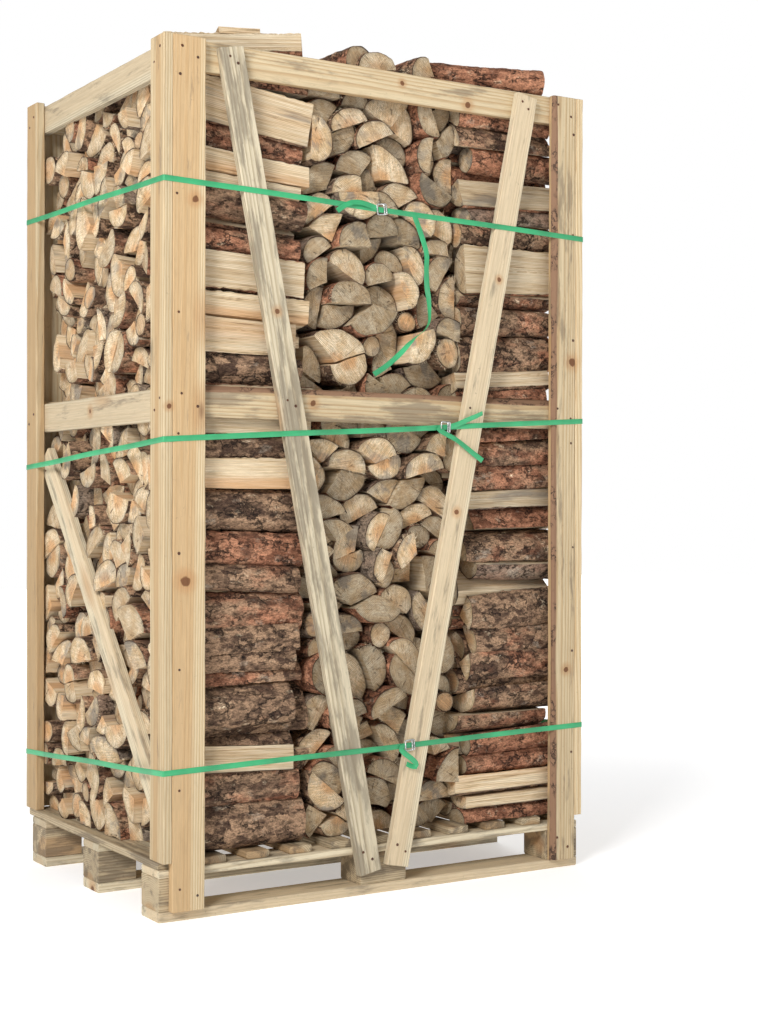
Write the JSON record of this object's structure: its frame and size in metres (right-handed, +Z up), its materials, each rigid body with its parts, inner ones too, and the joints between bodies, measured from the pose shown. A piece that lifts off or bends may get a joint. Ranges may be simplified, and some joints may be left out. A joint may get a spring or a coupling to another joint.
{
  "type": "crated firewood stack",
  "caption": "Split firewood logs stacked in three columns inside a braced board crate on a block pallet, held by three plastic straps with wire buckles.",
  "frame": {"origin": "on the floor under the middle of the crate", "axes": "+X along the wide front, +Y from the front to the back, +Z up"},
  "size_m": [1.2024, 0.8742, 2.0813],
  "materials": {
    "new_pine": "fresh sawn pale pine with orange heartwood streaks and knots",
    "pale_pine": "sawn pine, slightly greyed, with dark streaks",
    "old_pine": "weathered grey-brown pallet wood",
    "split_wood": "split and sawn log faces with growth rings, fibres and drying cracks",
    "bark": "rough flaking red-brown conifer bark",
    "green_strap": "satin green plastic strapping",
    "galvanised_wire": "bright galvanised steel wire"
  },
  "bodies": {
    "root": {"block_back_left": "old_pine", "block_back_middle": "old_pine", "block_back_right": "old_pine", "block_front_left": "old_pine", "block_front_middle": "old_pine", "block_front_right": "old_pine", "block_middle_left": "old_pine", "block_middle_middle": "old_pine", "block_middle_right": "old_pine", "brace_back_left": "pale_pine", "brace_back_right": "pale_pine", "brace_front_left": "pale_pine", "brace_front_right": "pale_pine", "brace_left": "pale_pine", "brace_right": "pale_pine", "buckle_bottom": "galvanised_wire", "buckle_middle": "galvanised_wire", "buckle_top": "galvanised_wire", "deck_board_1": "old_pine", "deck_board_10": "old_pine", "deck_board_11": "old_pine", "deck_board_2": "old_pine", "deck_board_3": "old_pine", "deck_board_4": "old_pine", "deck_board_5": "old_pine", "deck_board_6": "old_pine", "deck_board_7": "old_pine", "deck_board_8": "old_pine", "deck_board_9": "old_pine", "logs_left": "split_wood", "logs_middle": "split_wood", "logs_right": "split_wood", "loose_log_left": "split_wood", "loose_log_middle": "bark", "loose_log_right": "bark", "mid_rail_back": "new_pine", "mid_rail_front": "new_pine", "mid_rail_left": "pale_pine", "mid_rail_right": "pale_pine", "post_board_back_left": "new_pine", "post_board_back_right": "new_pine", "post_board_front_left": "new_pine", "post_board_front_right": "new_pine", "post_plank_back_left": "new_pine", "post_plank_back_right": "new_pine", "post_plank_front_left": "new_pine", "post_plank_front_right": "new_pine", "runner_back": "pale_pine", "runner_front": "pale_pine", "runner_middle": "pale_pine", "strap_bottom": "green_strap", "strap_middle": "green_strap", "strap_top": "green_strap", "stringer_back": "pale_pine", "stringer_front": "pale_pine", "stringer_middle": "pale_pine", "top_rail_back": "new_pine", "top_rail_front": "new_pine", "top_rail_left": "pale_pine", "top_rail_right": "pale_pine"}
  },
  "joints": []
}
